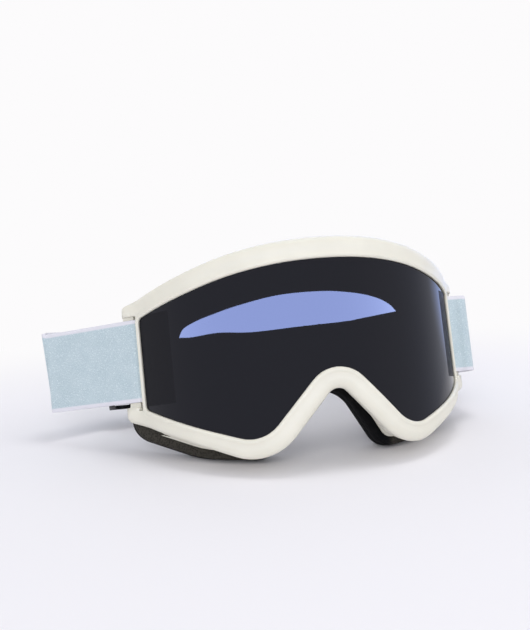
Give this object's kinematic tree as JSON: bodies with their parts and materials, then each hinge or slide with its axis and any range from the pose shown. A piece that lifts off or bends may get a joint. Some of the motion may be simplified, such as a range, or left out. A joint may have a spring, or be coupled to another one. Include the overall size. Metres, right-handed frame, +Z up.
{
  "type": "snow goggles",
  "caption": "Snow goggles with a wide curved smoke lens in a pale soft frame, layered face foam and an elastic strap lying loose behind on two sliders.",
  "frame": {"origin": "on the floor, under the middle of the whole part's bounding box", "axes": "+Z up, -Y the way the lens faces, +X towards the viewer's right when facing the lens; the goggles lean back 16 degrees as they lie"},
  "size_m": [0.2276, 0.1608, 0.1047],
  "materials": {
    "frame_tpu": "satin moulded elastomer",
    "lens_smoke": "polished, dark smoke with a faint blue mirror coat",
    "lens_clear": "polished",
    "gasket_foam": "closed-cell foam",
    "foam_olive": "open-cell foam",
    "foam_black": "open-cell foam",
    "fleece_black": "brushed fleece",
    "vent_foam": "open-cell foam",
    "webbing": "woven elastic with paler borders",
    "slider_black": "glossy moulded",
    "thread": "sewing thread"
  },
  "bodies": {
    "goggles": {"frame": "frame_tpu", "outer_lens": "lens_smoke", "inner_lens": "lens_clear", "lens_gasket": "gasket_foam", "face_foam_base": "foam_olive", "face_foam_soft": "foam_black", "face_fleece": "fleece_black", "vent_foam_top": "vent_foam", "vent_foam_left": "vent_foam", "vent_foam_right": "vent_foam", "strap_left": "webbing", "strap_right": "webbing", "post_stitch_left": "thread", "post_stitch_right": "thread"},
    "left_adjuster": {"strap_slider_left": "slider_black", "strap_right_end": "webbing", "slider_stitch_left": "thread"},
    "right_adjuster": {"strap_slider_right": "slider_black", "strap_left_end": "webbing", "slider_stitch_right": "thread"}
  },
  "joints": [
    {"name": "left_slider_slide", "type": "slide", "parent": "goggles", "child": "left_adjuster", "axis": [-0.9245, -0.3663, 0.105], "range_m": [0, 0.016], "deforming": ["strap_right"]},
    {"name": "right_slider_slide", "type": "slide", "parent": "goggles", "child": "right_adjuster", "axis": [0.0523, -0.9599, 0.2753], "range_m": [0, 0.016], "deforming": ["strap_left"]}
  ]
}
